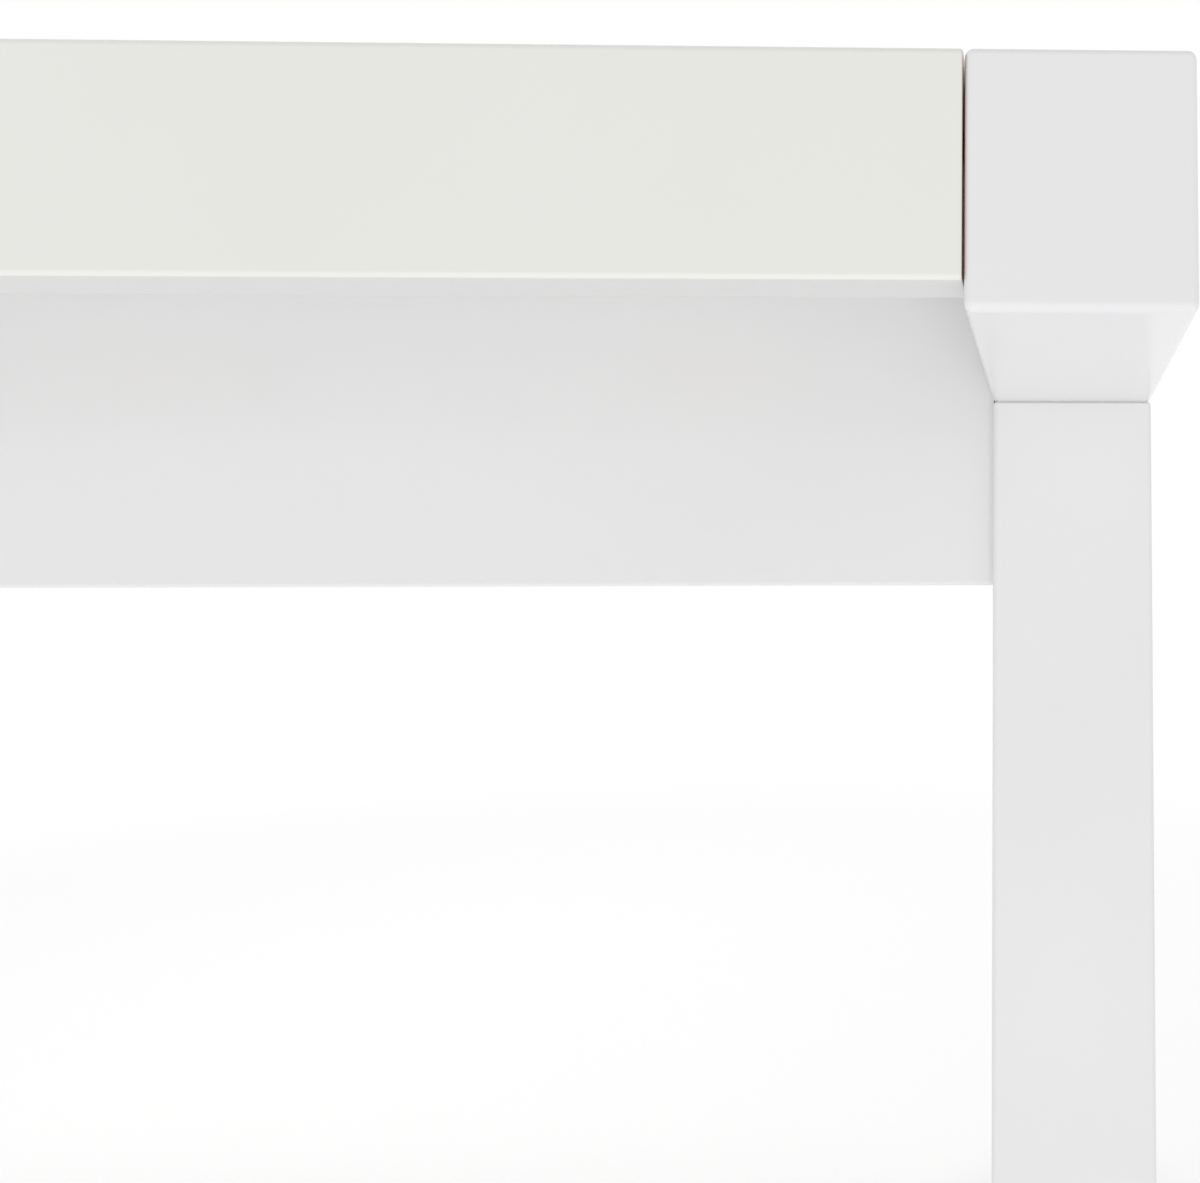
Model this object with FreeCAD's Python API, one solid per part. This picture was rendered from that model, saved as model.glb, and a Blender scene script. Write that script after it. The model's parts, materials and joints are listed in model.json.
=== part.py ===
import FreeCAD
import Part
import math
import os
from FreeCAD import Placement, Rotation, Vector

# Rectangular dining table: two end frames, each a bar on two square legs, carry a top panel
# with deep edges and an inset apron frame. Millimetres, +X to the right, front at -Y, floor at Z = 0.

# Overall size
TABLE_LENGTH = 1830.0
TABLE_WIDTH = 940.0
TABLE_HEIGHT = 760.0

# End frames
LEG_WIDTH = 64.0
BAR_HEIGHT = 73.5
SIDE_OVERHANG = 140.0
FRAME_RADIUS = 2.5
LEG_TENON_WIDTH = 36.0
LEG_TENON_HEIGHT = 40.0
LEG_FOOT_CHAMFER = 1.5
LEG_SHOULDER_CHAMFER = 0.8

# Top
PANEL_THICKNESS = 25.0
EDGE_HEIGHT = 65.0
EDGE_THICKNESS = 18.0
EDGE_TOP_RADIUS = 2.5
EDGE_LOWER_RADIUS = 1.5
SEAM_GAP = 0.5
SEAM_RADIUS = 0.8
TONGUE_THICKNESS = 8.0
TONGUE_LENGTH = 8.0
TONGUE_SHOULDER = 20.0
GLUE_BLOCK_SIDE = 25.0
GLUE_BLOCK_LENGTH = 80.0
GLUE_BLOCK_COUNT = 6

# Apron frame
APRON_THICKNESS = 22.0
APRON_SETBACK = 8.0
APRON_DROP = 74.0
APRON_EDGE_RADIUS = 1.5
APRON_TENON_THICKNESS = 10.0
APRON_TENON_LENGTH = 20.0
APRON_TENON_SHOULDER = 12.0
BRACE_COUNT = 3
BRACE_THICKNESS = 22.0
BRACE_HEIGHT = 60.0
BRACE_DADO_DEPTH = 8.0
DOWEL_RADIUS = 4.0
DOWEL_LENGTH = 40.0
DOWEL_SPACING = 40.0

# Corner brackets and their bolts
STEEL_THICKNESS = 2.0
BEND_RADIUS = 1.5
BRACKET_HEIGHT = 54.0
BRACKET_STAND_OFF = 5.0
BRACKET_FLANGE = 20.0
BRACKET_LIP = 7.0
LEG_CORNER_CHAMFER = 12.0
BOLT_RADIUS = 4.0
BOLT_DEPTH_IN_LEG = 32.0
BOLT_REACH = 20.0
WASHER_RADIUS = 10.0
WASHER_THICKNESS = 1.6
NUT_RADIUS = 7.0
NUT_HEIGHT = 8.0
WING_SPAN = 34.0
WING_HEIGHT = 15.0
WING_THICKNESS = 3.0
WING_CORNER_RADIUS = 3.0

# Clips, angle brackets and screws
CLIP_WIDTH = 25.0
CLIP_DROP = 13.0
CLIP_TONGUE = 8.0
CLIP_STANDING = 6.0
CLIP_FLANGE = 22.0
CLIP_SLOT_SIDE_ROOM = 3.0
ANGLE_WIDTH = 22.0
ANGLE_LEG = 30.0
ANGLE_PITCH = 180.0
SCREW_RADIUS = 2.0
SCREW_HEAD_RADIUS = 4.0
SCREW_HEAD_HEIGHT = 2.4
SCREW_BITE = 14.0
BRACE_SCREW_PITCH = 360.0
BRACE_SCREW_COVER = 25.0
BRACE_COUNTERBORE_RADIUS = 5.0

# Screw feet
PAD_RADIUS = 15.0
PAD_HEIGHT = 8.0
PAD_EDGE_RADIUS = 1.5
PAD_SHOULDER = 2.5
STEM_RADIUS = 4.0
STEM_LENGTH = 30.0
STEM_HEAD_RADIUS = 7.0
STEM_HEAD_HEIGHT = 4.0
INSERT_RADIUS = 7.0
INSERT_LENGTH = 16.0
INSERT_FLANGE_RADIUS = 11.0
INSERT_FLANGE_THICKNESS = 1.6

# Clearances
JOINERY_CLEARANCE = 0.2
END_CLEARANCE = 1.0
HOLE_CLEARANCE = 0.1
WASHER_CLEARANCE = 0.3
FOOT_CLEARANCE = 0.3
CLIP_PULL_ROOM = 1.0

# How closely an edge has to lie to a plane to be picked by it
PICK_TOLERANCE = 0.01

# Directions
outward = Vector(1, 0, 0)
backward = Vector(0, 1, 0)
up = Vector(0, 0, 1)

# Places that follow from the sizes above
half_length = TABLE_LENGTH / 2
half_width = TABLE_WIDTH / 2
frame_inner = half_length - LEG_WIDTH
panel_end = frame_inner - SEAM_GAP
panel_bottom = TABLE_HEIGHT - PANEL_THICKNESS
panel_side = half_width - EDGE_THICKNESS
tongue_middle = TABLE_HEIGHT - PANEL_THICKNESS / 2
bar_bottom = TABLE_HEIGHT - BAR_HEIGHT
leg_outer = half_width - SIDE_OVERHANG
leg_inner = leg_outer - LEG_WIDTH
leg_bottom = PAD_HEIGHT + FOOT_CLEARANCE
leg_axis = Vector(half_length - LEG_WIDTH / 2, leg_outer - LEG_WIDTH / 2, 0)
apron_bottom = bar_bottom - APRON_DROP
long_apron_outer = leg_outer - APRON_SETBACK
long_apron_inner = long_apron_outer - APRON_THICKNESS
end_apron_outer = half_length - APRON_SETBACK
end_apron_inner = end_apron_outer - APRON_THICKNESS
bracket_middle = (apron_bottom + bar_bottom) / 2
bay_length = 2 * frame_inner / (BRACE_COUNT + 1)
brace_places = [bay_length * (i + 1) - frame_inner for i in range(BRACE_COUNT)]
clip_places = [bay_length * (i + 0.5) - frame_inner for i in range(BRACE_COUNT + 1)]
clip_screw_side = long_apron_inner - CLIP_STANDING - CLIP_FLANGE / 2
clip_tongue_top = panel_bottom - CLIP_DROP + STEEL_THICKNESS
angle_places = [-ANGLE_PITCH, 0.0, ANGLE_PITCH]
angle_screw_reach = ANGLE_LEG / 2 + STEEL_THICKNESS

# The bracket crosses each inner corner at 45 degrees, clear of the leg's chamfered corner
diagonal = Vector(-1, -1, 0).normalize()
leg_flat = Vector(frame_inner + LEG_CORNER_CHAMFER / 2, leg_inner + LEG_CORNER_CHAMFER / 2, bracket_middle)
bracket_face = leg_flat + diagonal * BRACKET_STAND_OFF
bracket_span = end_apron_inner - bracket_face.x + long_apron_inner - bracket_face.y


def box(x0, x1, y0, y1, z0, z1):
    """Box between two limits along each axis."""
    return Part.makeBox(x1 - x0, y1 - y0, z1 - z0, Vector(x0, y0, z0))


def rod(radius, start, direction, length):
    """Round bar or drill along a direction."""
    return Part.makeCylinder(radius, length, start, direction)


def near(a, b):
    """True where two measures agree."""
    return abs(a - b) < PICK_TOLERANCE


def edges_along(solid, axis, chosen):
    """Edges parallel to an axis whose middle point passes a test."""
    edges = []
    for edge in solid.Edges:
        parallel = near(abs(edge.tangentAt(edge.FirstParameter).dot(axis)), 1)
        if parallel and chosen(edge.CenterOfMass):
            edges.append(edge)
    return edges


def edges_at(solid, points):
    """Edges whose middle lies at one of the points."""
    return [
        edge for edge in solid.Edges
        if any(near(edge.CenterOfMass.distanceToPoint(point), 0) for point in points)
    ]


def cut(solid, tools):
    """Take every tool away from a solid."""
    return solid.cut(tools)


def corner_copy(shape, side_x, side_y):
    """Copy a piece of the back right corner to the corner with the given signs."""
    if side_x < 0:
        shape = shape.mirror(Vector(), outward)
    if side_y < 0:
        shape = shape.mirror(Vector(), backward)
    return shape


def corner_group(shape):
    """One copy of a piece at each of the four corners."""
    return [corner_copy(shape, side_x, side_y) for side_x in (-1, 1) for side_y in (-1, 1)]


def strip_outline(path, thickness):
    """Closed outline of a bent strip that lies to the left of a plane path."""
    inner = []
    for i, point in enumerate(path):
        before = path[max(i - 1, 0)]
        after = path[min(i + 1, len(path) - 1)]
        into = (point - before) if i else (after - point)
        out = (after - point) if i < len(path) - 1 else into
        side_in = Vector(-into.y, into.x, 0).normalize()
        side_out = Vector(-out.y, out.x, 0).normalize()
        mitre = (side_in + side_out).normalize()
        inner.append(point + mitre * (thickness / mitre.dot(side_in)))
    return path + inner[::-1]


def bent_strip(path, width, place):
    """Sheet steel with rounded bends along a plane path, given its width and moved to its place."""
    outline = strip_outline(path, STEEL_THICKNESS)
    face = Part.Face(Part.makePolygon(outline + outline[:1]))
    solid = face.extrude(up * width)
    inside, outside = [], []
    for i in range(1, len(path) - 1):
        turns_left = (path[i] - path[i - 1]).cross(path[i + 1] - path[i]).z > 0
        along_path, offset = path[i], outline[-1 - i]
        inside.append(offset if turns_left else along_path)
        outside.append(along_path if turns_left else offset)
    for points, radius in ((inside, BEND_RADIUS), (outside, BEND_RADIUS + STEEL_THICKNESS)):
        solid = solid.makeFillet(radius, edges_at(solid, [point + up * width / 2 for point in points]))
    solid.Placement = place
    return solid


def turned(profile):
    """Solid of revolution about Z from the corners of its half profile."""
    face = Part.Face(Part.makePolygon(profile + profile[:1]))
    return face.revolve(Vector(), up, 360)


def screw(head_seat, direction, bite):
    """Pan-headed screw whose head rests on a seat and whose shank runs on from it."""
    edge = SCREW_HEAD_HEIGHT / 3
    profile = [
        Vector(0, 0, -SCREW_HEAD_HEIGHT),
        Vector(SCREW_HEAD_RADIUS - edge, 0, -SCREW_HEAD_HEIGHT),
        Vector(SCREW_HEAD_RADIUS, 0, edge - SCREW_HEAD_HEIGHT),
        Vector(SCREW_HEAD_RADIUS, 0, 0),
        Vector(SCREW_RADIUS, 0, 0),
        Vector(SCREW_RADIUS, 0, bite - SCREW_RADIUS),
        Vector(0, 0, bite),
    ]
    solid = turned(profile)
    solid.Placement = Placement(head_seat, Rotation(up, direction))
    return solid


def screw_hole(head_seat, direction, bite):
    """Hole for a screw's shank, a little deeper than its point."""
    return rod(SCREW_RADIUS + HOLE_CLEARANCE, head_seat, direction, bite + END_CLEARANCE)


# Screw places: seat of the head, direction of the shank and its length
clip_screw_bite = STEEL_THICKNESS + SCREW_BITE
clip_screw_seats = [
    Vector(x, side * clip_screw_side, panel_bottom - STEEL_THICKNESS)
    for side in (-1, 1)
    for x in clip_places
]
angle_top_seats = [
    Vector(frame_inner - angle_screw_reach, y, panel_bottom - STEEL_THICKNESS) for y in angle_places
]
angle_side_seats = [
    Vector(frame_inner - STEEL_THICKNESS, y, panel_bottom - angle_screw_reach) for y in angle_places
]
brace_screw_bite = BRACE_SCREW_COVER + SCREW_BITE
brace_screw_seats = [
    Vector(x, side * BRACE_SCREW_PITCH / 2, panel_bottom - BRACE_SCREW_COVER)
    for x in brace_places
    for side in (-1, 1)
]
flange_middle = BRACKET_FLANGE / 2
end_flange_seat = Vector(
    end_apron_inner - STEEL_THICKNESS,
    long_apron_inner - bracket_span - flange_middle,
    bracket_middle,
)
long_flange_seat = Vector(
    end_apron_inner - bracket_span - flange_middle,
    long_apron_inner - STEEL_THICKNESS,
    bracket_middle,
)
dowel_seats = [
    Vector(frame_inner - DOWEL_LENGTH / 2, long_apron_inner + APRON_THICKNESS / 2, bracket_middle + rise)
    for rise in (-DOWEL_SPACING / 2, DOWEL_SPACING / 2)
]


def tongue(clearance, reach, half_run):
    """Tongue along the panel's right end, or its groove when given clearance."""
    half = TONGUE_THICKNESS / 2 + clearance
    return box(panel_end, reach, -half_run, half_run, tongue_middle - half, tongue_middle + half)


def leg_tenon(clearance, height):
    """Tenon on top of the back right leg, or its mortise when given clearance."""
    half = LEG_TENON_WIDTH / 2 + clearance
    x, y = leg_axis.x, leg_axis.y
    return box(x - half, x + half, y - half, y + half, bar_bottom, bar_bottom + height)


def apron_tenon(clearance, length):
    """Tenon at the back end of the right end apron, or its mortise when given clearance."""
    middle = end_apron_inner + APRON_THICKNESS / 2
    half = APRON_TENON_THICKNESS / 2 + clearance
    low = apron_bottom + APRON_TENON_SHOULDER - clearance
    high = bar_bottom - APRON_TENON_SHOULDER + clearance
    return box(middle - half, middle + half, leg_inner, leg_inner + length, low, high)


def make_end_bar():
    """Right end bar: rounded all over, grooved for the panel and mortised for two legs."""
    bar = box(frame_inner, half_length, -half_width, half_width, bar_bottom, TABLE_HEIGHT)
    bar = bar.makeFillet(FRAME_RADIUS, bar.Edges)
    groove_end = frame_inner + TONGUE_LENGTH - SEAM_GAP + END_CLEARANCE
    groove_run = panel_side - TONGUE_SHOULDER + END_CLEARANCE
    mortise = leg_tenon(JOINERY_CLEARANCE, LEG_TENON_HEIGHT + END_CLEARANCE)
    tools = [tongue(JOINERY_CLEARANCE, groove_end, groove_run)]
    tools += [mortise, corner_copy(mortise, 1, -1)]
    tools += [screw_hole(seat, outward, STEEL_THICKNESS + SCREW_BITE) for seat in angle_side_seats]
    return cut(bar, tools)


def make_leg():
    """Back right leg: tenon on top, flat on the inner corner, sockets for the aprons and the foot."""
    leg = box(frame_inner, half_length, leg_inner, leg_outer, leg_bottom, bar_bottom)
    leg = leg.makeFillet(FRAME_RADIUS, edges_along(leg, up, lambda middle: True))
    foot_edges = [edge for edge in leg.Edges if near(edge.BoundBox.ZMax, leg_bottom)]
    leg = leg.makeChamfer(LEG_FOOT_CHAMFER, foot_edges)
    shoulder_edges = [edge for edge in leg.Edges if near(edge.BoundBox.ZMin, bar_bottom)]
    leg = leg.makeChamfer(LEG_SHOULDER_CHAMFER, shoulder_edges)
    leg = leg.fuse(leg_tenon(0, LEG_TENON_HEIGHT)).removeSplitter()
    foot = leg_axis + up * leg_bottom
    flat_corner = Vector(frame_inner, leg_inner, apron_bottom)
    flat = Part.Face(Part.makePolygon([
        flat_corner,
        flat_corner + Vector(LEG_CORNER_CHAMFER, 0, 0),
        flat_corner + Vector(0, LEG_CORNER_CHAMFER, 0),
        flat_corner,
    ])).extrude(Vector(0, 0, APRON_DROP))
    tools = [
        flat,
        apron_tenon(JOINERY_CLEARANCE, APRON_TENON_LENGTH + END_CLEARANCE),
        rod(BOLT_RADIUS + HOLE_CLEARANCE, leg_flat, -diagonal, BOLT_DEPTH_IN_LEG + END_CLEARANCE),
        rod(INSERT_FLANGE_RADIUS + HOLE_CLEARANCE, foot, up, INSERT_FLANGE_THICKNESS),
        rod(INSERT_RADIUS + HOLE_CLEARANCE, foot, up, INSERT_LENGTH),
        rod(STEM_RADIUS + END_CLEARANCE, foot, up, STEM_LENGTH + END_CLEARANCE),
    ]
    tools += [dowel(seat, HOLE_CLEARANCE, END_CLEARANCE) for seat in dowel_seats]
    return cut(leg, tools)


def dowel(seat, clearance, end_room):
    """Dowel between a long apron and a leg, or its hole when given clearance."""
    length = DOWEL_LENGTH + 2 * end_room
    return rod(DOWEL_RADIUS + clearance, seat - outward * end_room, outward, length)


def make_end_apron():
    """Right end apron with a tenon at each end and a kerf for each bracket's lip."""
    apron = box(end_apron_inner, end_apron_outer, -leg_inner, leg_inner, apron_bottom, bar_bottom)
    lower_edges = edges_along(apron, backward, lambda middle: near(middle.z, apron_bottom))
    apron = apron.makeFillet(APRON_EDGE_RADIUS, lower_edges)
    end_tenon = apron_tenon(0, APRON_TENON_LENGTH)
    apron = apron.fuse([end_tenon, corner_copy(end_tenon, 1, -1)]).removeSplitter()
    edge = long_apron_inner - bracket_span - BRACKET_FLANGE
    kerf = bracket_kerf(
        end_apron_inner,
        end_apron_inner + BRACKET_LIP + END_CLEARANCE,
        edge - STEEL_THICKNESS - JOINERY_CLEARANCE,
        edge + BEND_RADIUS + JOINERY_CLEARANCE,
    )
    hole = screw_hole(end_flange_seat, outward, STEEL_THICKNESS + SCREW_BITE)
    return cut(apron, [copy for tool in (kerf, hole) for copy in (tool, corner_copy(tool, 1, -1))])


def bracket_kerf(x0, x1, y0, y1):
    """Upright slot that takes a bracket's lip."""
    half = BRACKET_HEIGHT / 2 + JOINERY_CLEARANCE
    return box(x0, x1, y0, y1, bracket_middle - half, bracket_middle + half)


def make_long_apron():
    """Back long apron: dados for the braces, slots for the clips, kerfs and holes at its ends."""
    apron = box(-frame_inner, frame_inner, long_apron_inner, long_apron_outer, apron_bottom, panel_bottom)
    lower_edges = edges_along(apron, outward, lambda middle: near(middle.z, apron_bottom))
    apron = apron.makeFillet(APRON_EDGE_RADIUS, lower_edges)
    edge = end_apron_inner - bracket_span - BRACKET_FLANGE
    kerf = bracket_kerf(
        edge - STEEL_THICKNESS - JOINERY_CLEARANCE,
        edge + BEND_RADIUS + JOINERY_CLEARANCE,
        long_apron_inner,
        long_apron_inner + BRACKET_LIP + END_CLEARANCE,
    )
    ends = [kerf, screw_hole(long_flange_seat, backward, STEEL_THICKNESS + SCREW_BITE)]
    ends += [dowel(seat, HOLE_CLEARANCE, END_CLEARANCE) for seat in dowel_seats]
    tools = [copy for tool in ends for copy in (tool, corner_copy(tool, -1, 1))]
    half_brace = BRACE_THICKNESS / 2 + JOINERY_CLEARANCE
    dado_end = long_apron_inner + BRACE_DADO_DEPTH
    dado_low = panel_bottom - BRACE_HEIGHT
    for x in brace_places:
        tools.append(box(x - half_brace, x + half_brace, long_apron_inner, dado_end, dado_low, panel_bottom))
    half_slot = CLIP_WIDTH / 2 + CLIP_SLOT_SIDE_ROOM
    slot_end = long_apron_inner + CLIP_TONGUE + END_CLEARANCE
    slot_low = panel_bottom - CLIP_DROP - JOINERY_CLEARANCE
    slot_high = clip_tongue_top + CLIP_PULL_ROOM
    for x in clip_places:
        tools.append(box(x - half_slot, x + half_slot, long_apron_inner, slot_end, slot_low, slot_high))
    return cut(apron, tools)


def make_brace(x):
    """Cross brace let into both long aprons, bored from below for its screws."""
    end = long_apron_inner + BRACE_DADO_DEPTH - JOINERY_CLEARANCE
    half = BRACE_THICKNESS / 2
    low = panel_bottom - BRACE_HEIGHT
    brace = box(x - half, x + half, -end, end, low, panel_bottom)
    tools = []
    for seat in brace_screw_seats:
        if abs(seat.x - x) < half:
            counterbore = BRACE_HEIGHT - BRACE_SCREW_COVER
            tools.append(rod(BRACE_COUNTERBORE_RADIUS, seat - up * counterbore, up, counterbore))
            tools.append(rod(SCREW_RADIUS + HOLE_CLEARANCE, seat, up, BRACE_SCREW_COVER))
    return cut(brace, tools)


def make_top_panel():
    """Top panel with a tongue on every side, eased at the seams and drilled from below."""
    panel = box(-panel_end, panel_end, -panel_side, panel_side, panel_bottom, TABLE_HEIGHT)
    seam_edges = edges_along(panel, backward, lambda middle: near(middle.z, TABLE_HEIGHT))
    panel = panel.makeFillet(SEAM_RADIUS, seam_edges)
    end_tongue = tongue(0, panel_end + TONGUE_LENGTH, panel_side - TONGUE_SHOULDER)
    half = TONGUE_THICKNESS / 2
    side_reach = panel_side + TONGUE_LENGTH
    side_tongue = box(
        -panel_end, panel_end, -side_reach, side_reach, tongue_middle - half, tongue_middle + half
    )
    panel = panel.fuse([end_tongue, corner_copy(end_tongue, -1, 1), side_tongue]).removeSplitter()
    tools = [screw_hole(seat, up, clip_screw_bite) for seat in clip_screw_seats]
    tools += [screw_hole(seat, up, brace_screw_bite) for seat in brace_screw_seats]
    end_holes = [screw_hole(seat, up, STEEL_THICKNESS + SCREW_BITE) for seat in angle_top_seats]
    tools += end_holes + [corner_copy(hole, -1, 1) for hole in end_holes]
    return cut(panel, tools)


def make_edge_rail():
    """Back edge rail: eased where hands and knees meet it, grooved along its inner face."""
    low = TABLE_HEIGHT - EDGE_HEIGHT
    rail = box(-panel_end, panel_end, panel_side, half_width, low, TABLE_HEIGHT)

    def on_outer_face(middle, height):
        return near(middle.y, half_width) and near(middle.z, height)

    top_edges = edges_along(rail, outward, lambda middle: on_outer_face(middle, TABLE_HEIGHT))
    rail = rail.makeFillet(EDGE_TOP_RADIUS, top_edges)
    lower_edges = edges_along(rail, outward, lambda middle: on_outer_face(middle, low))
    rail = rail.makeFillet(EDGE_LOWER_RADIUS, lower_edges)
    seam_edges = [
        edge for edge in rail.Edges
        if near(edge.BoundBox.XLength, 0) and not near(edge.BoundBox.YMax, panel_side)
    ]
    rail = rail.makeFillet(SEAM_RADIUS, seam_edges)
    half = TONGUE_THICKNESS / 2 + JOINERY_CLEARANCE
    groove_end = panel_side + TONGUE_LENGTH + END_CLEARANCE
    groove = box(-panel_end, panel_end, panel_side, groove_end, tongue_middle - half, tongue_middle + half)
    return cut(rail, [groove])


def make_glue_blocks():
    """Three-cornered blocks in the angle between the panel and the back edge rail."""
    corner = Vector(0, panel_side, panel_bottom)
    profile = Part.Face(Part.makePolygon([
        corner,
        corner - Vector(0, GLUE_BLOCK_SIDE, 0),
        corner - Vector(0, 0, GLUE_BLOCK_SIDE),
        corner,
    ]))
    block = profile.extrude(Vector(GLUE_BLOCK_LENGTH, 0, 0))
    pitch = 2 * panel_end / GLUE_BLOCK_COUNT
    starts = [pitch * (i + 0.5) - panel_end - GLUE_BLOCK_LENGTH / 2 for i in range(GLUE_BLOCK_COUNT)]
    return [block.translated(Vector(start, 0, 0)) for start in starts]


def make_corner_bracket():
    """Back right bracket: a plate across the corner, a flange on each apron and a lip in each kerf."""
    a, b = end_apron_inner, long_apron_inner
    bend = bracket_span
    far = bracket_span + BRACKET_FLANGE
    path = [
        Vector(a + BRACKET_LIP, b - far, 0),
        Vector(a, b - far, 0),
        Vector(a, b - bend, 0),
        Vector(a - bend, b, 0),
        Vector(a - far, b, 0),
        Vector(a - far, b + BRACKET_LIP, 0),
    ]
    place = Placement(Vector(0, 0, bracket_middle - BRACKET_HEIGHT / 2), Rotation())
    bracket = bent_strip(path, BRACKET_HEIGHT, place)
    tools = [
        rod(BOLT_RADIUS + HOLE_CLEARANCE, leg_flat, diagonal, BOLT_REACH),
        screw_hole(end_flange_seat, outward, STEEL_THICKNESS),
        screw_hole(long_flange_seat, backward, STEEL_THICKNESS),
    ]
    return cut(bracket, tools)


def make_hanger_bolt():
    """Bolt from the leg's inner corner through the bracket, with a tapered tip at each end."""
    end = BRACKET_STAND_OFF + STEEL_THICKNESS + WASHER_THICKNESS + BOLT_REACH
    tip = BOLT_RADIUS / 2
    bolt = turned([
        Vector(0, 0, -BOLT_DEPTH_IN_LEG),
        Vector(BOLT_RADIUS - tip, 0, -BOLT_DEPTH_IN_LEG),
        Vector(BOLT_RADIUS, 0, tip - BOLT_DEPTH_IN_LEG),
        Vector(BOLT_RADIUS, 0, end - tip),
        Vector(BOLT_RADIUS - tip, 0, end),
        Vector(0, 0, end),
    ])
    return on_bolt(bolt, 0)


def on_bolt(solid, distance):
    """Set a solid made about Z on the back right bolt, a distance out from the leg's flat."""
    solid.Placement = Placement(leg_flat + diagonal * distance, Rotation(up, diagonal))
    return solid


def make_washer():
    """Washer on the bracket's inner face."""
    washer = rod(WASHER_RADIUS, Vector(), up, WASHER_THICKNESS)
    washer = washer.cut(rod(BOLT_RADIUS + WASHER_CLEARANCE, Vector(), up, WASHER_THICKNESS))
    return on_bolt(washer, BRACKET_STAND_OFF + STEEL_THICKNESS)


def make_wing_nut():
    """Wing nut: a tapered boss with two rounded wings that lean out."""
    boss = Part.makeCone(NUT_RADIUS, NUT_RADIUS - STEEL_THICKNESS, NUT_HEIGHT)
    half = WING_SPAN / 2
    wing_low = NUT_HEIGHT / 4
    face = Part.Face(Part.makePolygon([
        Vector(0, -WING_THICKNESS / 2, wing_low),
        Vector(half - WING_THICKNESS, -WING_THICKNESS / 2, wing_low + WING_THICKNESS),
        Vector(half, -WING_THICKNESS / 2, WING_HEIGHT),
        Vector(half - NUT_RADIUS, -WING_THICKNESS / 2, WING_HEIGHT),
        Vector(0, -WING_THICKNESS / 2, NUT_HEIGHT),
        Vector(0, -WING_THICKNESS / 2, wing_low),
    ]))
    wing = face.extrude(Vector(0, WING_THICKNESS, 0))
    corners = edges_along(wing, backward, lambda middle: middle.x > NUT_RADIUS)
    wing = wing.makeFillet(WING_CORNER_RADIUS, corners)
    nut = boss.fuse([wing, wing.mirror(Vector(), outward)]).removeSplitter()
    nut = nut.cut(rod(BOLT_RADIUS + HOLE_CLEARANCE, Vector(), up, WING_HEIGHT))
    return on_bolt(nut, BRACKET_STAND_OFF + STEEL_THICKNESS + WASHER_THICKNESS)


def make_top_clip(x):
    """Clip for the back long apron: a flange under the panel, a riser and a tongue in the apron's slot."""
    flange = panel_bottom - STEEL_THICKNESS
    low = panel_bottom - CLIP_DROP
    riser = long_apron_inner - CLIP_STANDING
    path = [
        Vector(riser - CLIP_FLANGE, flange, 0),
        Vector(riser, flange, 0),
        Vector(riser, low, 0),
        Vector(long_apron_inner + CLIP_TONGUE, low, 0),
    ]
    place = Placement(outward * (x - CLIP_WIDTH / 2), Rotation(outward + backward + up, 120))
    clip = bent_strip(path, CLIP_WIDTH, place)
    seat = Vector(x, clip_screw_side, flange)
    return cut(clip, [screw_hole(seat, up, STEEL_THICKNESS)])


def make_angle_bracket(y):
    """Right angle bracket: one leg under the panel, the other on the bar's inner face."""
    inner = frame_inner - STEEL_THICKNESS
    flange = panel_bottom - STEEL_THICKNESS
    path = [
        Vector(frame_inner - ANGLE_LEG, flange, 0),
        Vector(inner, flange, 0),
        Vector(inner, panel_bottom - ANGLE_LEG, 0),
    ]
    place = Placement(backward * (y + ANGLE_WIDTH / 2), Rotation(outward, 90))
    bracket = bent_strip(path, ANGLE_WIDTH, place)
    row = angle_places.index(y)
    tools = [
        screw_hole(angle_top_seats[row], up, STEEL_THICKNESS),
        screw_hole(angle_side_seats[row], outward, STEEL_THICKNESS),
    ]
    return cut(bracket, tools)


def make_insert():
    """Threaded insert with a flange, let into the foot of the back right leg."""
    bore = STEM_RADIUS + HOLE_CLEARANCE
    insert = turned([
        Vector(bore, 0, 0),
        Vector(INSERT_FLANGE_RADIUS, 0, 0),
        Vector(INSERT_FLANGE_RADIUS, 0, INSERT_FLANGE_THICKNESS),
        Vector(INSERT_RADIUS, 0, INSERT_FLANGE_THICKNESS),
        Vector(INSERT_RADIUS, 0, INSERT_LENGTH),
        Vector(bore, 0, INSERT_LENGTH),
    ])
    insert.Placement = Placement(leg_axis + up * leg_bottom, Rotation())
    return insert


def make_stem():
    """Screw stem whose round head is held in the pad."""
    head_low = PAD_HEIGHT - STEM_HEAD_HEIGHT
    tip = STEM_RADIUS / 3
    stem_top = leg_bottom + STEM_LENGTH
    stem = turned([
        Vector(0, 0, head_low),
        Vector(STEM_HEAD_RADIUS, 0, head_low),
        Vector(STEM_HEAD_RADIUS, 0, PAD_HEIGHT),
        Vector(STEM_RADIUS, 0, PAD_HEIGHT),
        Vector(STEM_RADIUS, 0, stem_top - tip),
        Vector(STEM_RADIUS - tip, 0, stem_top),
        Vector(0, 0, stem_top),
    ])
    stem.Placement = Placement(leg_axis, Rotation())
    return stem


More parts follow.
